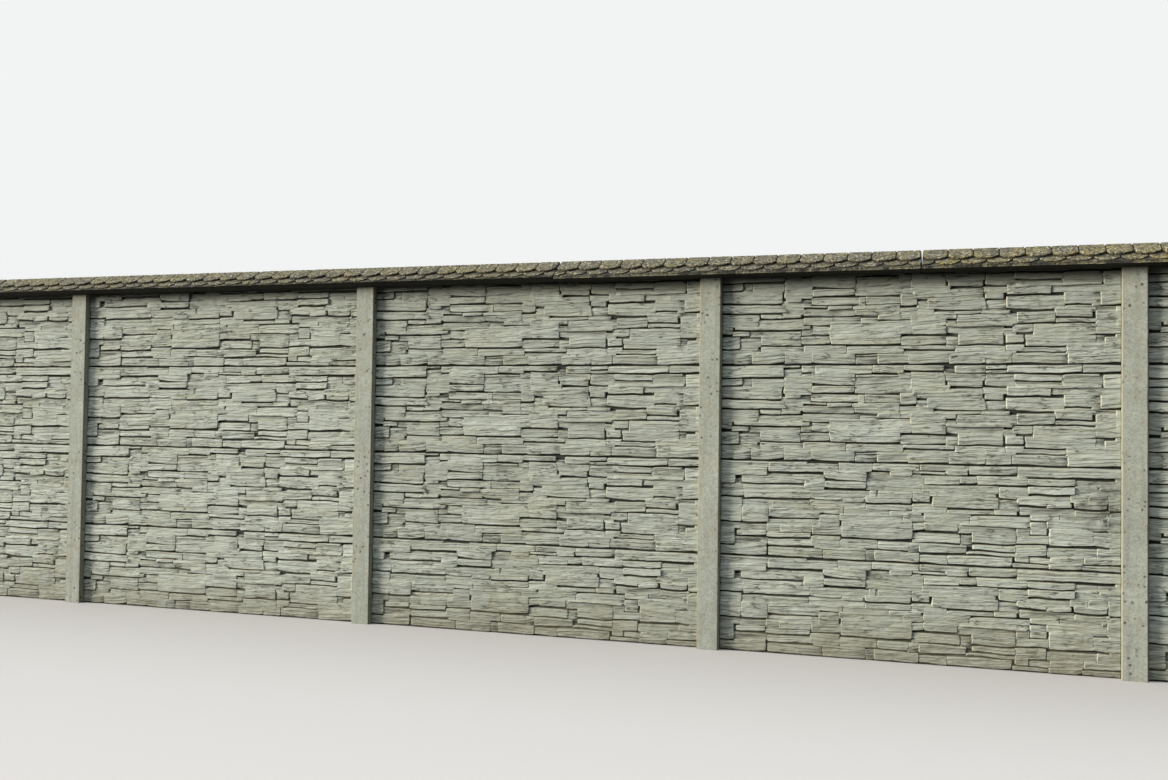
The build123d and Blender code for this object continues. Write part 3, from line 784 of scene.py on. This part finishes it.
def coping_surface(start, edge_foot, seed):
    """One unit: both halves of the section joined into a ring, and the rings joined
    along the unit. The places along it are close together at every joint, where the
    surface steps, and wider apart between them."""
    width = COPING_LENGTH / SHINGLES
    half = JOINT_WIDTH / 2
    steps = np.array([-half - 1.2, -half, half, half + 1.2, 9, 15, 21, 27, 33, 39, 45, 51])
    steps = np.concatenate([steps, width / 2 + steps[:10], [width - 15, width - 9]])
    x = start + (np.arange(-1, SHINGLES + 1)[:, None] * width + steps[None, :]).ravel()
    ends = max(start, FENCE_START), min(start + COPING_LENGTH, FENCE_END)
    x = np.unique(np.concatenate([x[(x > ends[0] + 1.5) & (x < ends[1] - 1.5)], ends]))
    front_y, front_z, front_dirt_and_shade = coping_half(x, start, edge_foot, -1, seed)
    back_y, back_z, back_dirt_and_shade = coping_half(x, start, edge_foot, 1, seed + 7)
    y = np.concatenate([front_y, back_y[:, ::-1]], 1)
    z = np.concatenate([front_z, back_z[:, ::-1]], 1)
    around = y.shape[1]
    points = np.stack([np.repeat(x[:, None], around, 1), y, z], -1).reshape(-1, 3)
    last = (len(x) - 1) * around
    faces = tube_quads(len(x), around)[:, ::-1].tolist()
    faces += [list(range(around)), list(range(last, last + around))[::-1]]
    return points, faces, np.concatenate([front_dirt_and_shade, back_dirt_and_shade[:, ::-1]], 1).ravel()


# Concrete with coarse grit, roughened by frost: pitted and dull, brown-grey speckled
# with pale grains and black algae, mustard and orange crusts of lichen, dark joints.
coping_concrete = blank_material("coping_frosted_grit_concrete")
where = add(coping_concrete, "TexCoord").outputs["Object"]
mottle = add(coping_concrete, "TexNoise", {"Scale": 9.0, "Detail": 5.0}, {"Vector": where})
tone = add(coping_concrete, "Mix",
           {"data_type": "RGBA", 6: linear("#57523F"), 7: linear("#776F56")},
           {0: mottle}).outputs[2]
# the lichen of each unit, from 0 to 1, and the size that tells it from the grit
LICHEN_OF_UNIT = [0.4, 0.6, 0.5, 0.4, 1.0, 0.8]
SMALLEST_LICHEN = 0.05
lichen = add(coping_concrete, "Attribute", {"attribute_name": "lichen"}).outputs["Fac"]
# each layer: size of its patches in metres, the part of the noise that it shows in, how
# much it covers at most, and its colour. The three with the largest patches are lichen.
COPING_LAYERS = [
    (0.16, 0.42, 0.60, 0.80, "#8E7F45"),
    (0.06, 0.57, 0.67, 0.75, "#94713A"),
    (0.08, 0.54, 0.66, 0.55, "#666849"),
    (0.016, 0.49, 0.56, 0.80, "#3A362B"),
    (0.030, 0.56, 0.62, 0.70, "#2F2C24"),
    (0.013, 0.55, 0.61, 0.80, "#B2AA91"),
    (0.010, 0.54, 0.60, 0.80, "#2A271F"),
]
for size, start, end, cover, colour in COPING_LAYERS:
    patches = add(coping_concrete, "TexNoise",
                  {"Scale": 1 / size, "Detail": 4.0, "Roughness": 0.6}, {"Vector": where})
    share = add(coping_concrete, "MapRange", {"From Min": start, "From Max": end, "To Max": cover},
                {"Value": patches})
    if size > SMALLEST_LICHEN:
        share = add(coping_concrete, "Math", {"operation": "MULTIPLY"}, {0: share, 1: lichen})
    tone = add(coping_concrete, "Mix", {"data_type": "RGBA", 7: linear(colour)},
               {0: share, 6: tone}).outputs[2]
# the lower course is darkened a little: from 2.012 m down to 1.99 m and below
height = add(coping_concrete, "SeparateXYZ", None, {0: where}).outputs["Z"]
tone = stain_and_shade(coping_concrete, tone, "#3E3B31", height, 2.012, 1.99, 0.18)
# and the bottom of the straight edge is worn to the pale grains
tone = stain_and_shade(coping_concrete, tone, "#A39D86", height, 1.978, 1.973, 0.45)
# dirt in the joints, and painted shade at the foot of each butt, on the right flanks of the
# lower butts and all over the soffit
dirt_and_shade = add(coping_concrete, "Attribute", {"attribute_name": "dirt_and_shade"}).outputs["Fac"]
dirt_and_shade = add(coping_concrete, "Math", {"operation": "MULTIPLY", 1: 0.92}, {0: dirt_and_shade})
tone = add(coping_concrete, "Mix", {"data_type": "RGBA", 7: linear("#1F1E1A")},
           {0: dirt_and_shade, 6: tone}).outputs[2]
grit = add(coping_concrete, "TexNoise", {"Scale": 85.0, "Detail": 4.0, "Roughness": 0.6},
           {"Vector": where})
bump = add(coping_concrete, "Bump", {"Strength": 1.0, "Distance": 0.009}, {"Height": grit})
surface = add(coping_concrete, "BsdfPrincipled", {"Roughness": 0.95, "IOR": 1.5},
              {"Base Color": tone, "Normal": bump})
add(coping_concrete, "OutputMaterial", None, {"Surface": surface})

for number, start in enumerate(COPING_STARTS, 1):
    points, faces, dirt_and_shade = coping_surface(start, EDGE_FEET[number - 1], 100 * number)
    coping = make_piece(f"shingled_coping_{number}", points, faces, coping_concrete,
                        [f"coping_{number}"])
    lichen = np.full(len(points), LICHEN_OF_UNIT[number - 1])
    for name, value in (("dirt_and_shade", dirt_and_shade), ("lichen", lichen)):
        coping.data.attributes.new(name, "FLOAT", "POINT").data.foreach_set("value", value)


# Where it stands
# A plain pale floor that reaches out of sight, a low main lamp from the left and the
# front that throws soft-edged shadows, a faint glow from above, a weak one from behind
# that shows the back, and a slightly blue surround that is brightest overhead.
floor_material = blank_material("plain_floor")
ray = add(floor_material, "LightPath")
pale = add(floor_material, "Mix", {"data_type": "RGBA", 6: linear("#444440"), 7: linear("#C2BBB5")},
           {0: ray.outputs["Is Camera Ray"]})
matt = add(floor_material, "BsdfDiffuse", None, {0: pale.outputs[2]})
add(floor_material, "OutputMaterial", None, {"Surface": matt})
floor_mesh = bpy.data.meshes.new("floor")
FLOOR_HALF, FLOOR_LEVEL = 200, -0.001
floor_corners = [(x * FLOOR_HALF, y * FLOOR_HALF, FLOOR_LEVEL)
                 for x, y in ((-1, -1), (1, -1), (1, 1), (-1, 1))]
floor_mesh.from_pydata(floor_corners, [], [(0, 1, 2, 3)])
floor_mesh.materials.append(floor_material)
floor = bpy.data.objects.new("floor", floor_mesh)
bpy.context.scene.collection.objects.link(floor)

for name, travel, strength, colour, spread in (
        ("main_lamp", (2.55, 1.0, -0.58), 5.8, (1.0, 0.965, 0.88), 18),
        ("glow", (0.7, 1.0, -1.4), 0.95, (0.88, 0.95, 1.0), 60),
        ("back_glow", (-0.6, -1.0, -0.7), 1.6, (0.94, 0.97, 1.0), 80)):
    lamp = bpy.data.lights.new(name, "SUN")
    lamp.energy, lamp.color, lamp.angle = strength, colour, np.radians(spread)
    holder = bpy.data.objects.new(name, lamp)
    back = -np.array(travel) / np.linalg.norm(travel)
    side = np.cross([0, 0, 1], back) / np.linalg.norm(np.cross([0, 0, 1], back))
    turn = np.column_stack([side, np.cross(back, side), back])
    holder.matrix_world = Matrix(turn.tolist()).to_4x4()
    bpy.context.scene.collection.objects.link(holder)

surround = bpy.data.worlds.new("surround")
bpy.context.scene.world = surround
surround.use_nodes = True
surround.node_tree.nodes.clear()
way = add(surround, "TexCoord").outputs["Generated"]
height = add(surround, "SeparateXYZ", None, {0: way}).outputs["Z"]
height = add(surround, "Clamp", None, {"Value": height})
bright = add(surround, "Math", {"operation": "POWER", 1: 2.0}, {0: height})
bright = add(surround, "Math", {"operation": "MULTIPLY", 1: 1.7}, {0: bright})
light = add(surround, "Background", {"Color": (0.80, 0.90, 1.0, 1.0)}, {"Strength": bright})
seen = add(surround, "Background", {"Color": linear("#F2F3F3"), "Strength": 1.0})
ray = add(surround, "LightPath")
mixed = add(surround, "MixShader", None,
            {0: ray.outputs["Is Camera Ray"], 1: light, 2: seen})
add(surround, "OutputWorld", None, {"Surface": mixed})

# The viewpoint: eye height, some six metres in front of the wall, turned to the left
EYE = (7.4891, -6.1763, 1.1909)
YAW, PITCH, ROLL = 0.3196, 0.0267, 0.0129
camera = bpy.data.cameras.new("camera")
camera.sensor_width = 36.0
camera.lens = 36.27
forward = np.array([-np.sin(YAW) * np.cos(PITCH), np.cos(YAW) * np.cos(PITCH), np.sin(PITCH)])
level_right = np.array([np.cos(YAW), np.sin(YAW), 0])
level_up = np.cross(level_right, forward)
right = np.cos(ROLL) * level_right + np.sin(ROLL) * level_up
up = np.cos(ROLL) * level_up - np.sin(ROLL) * level_right
viewer = bpy.data.objects.new("camera", camera)
turn = Matrix(np.column_stack([right, up, -forward]).tolist())
viewer.matrix_world = Matrix.Translation(EYE) @ turn.to_4x4()
bpy.context.scene.collection.objects.link(viewer)
bpy.context.scene.camera = viewer
bpy.context.scene.view_settings.view_transform = "Standard"
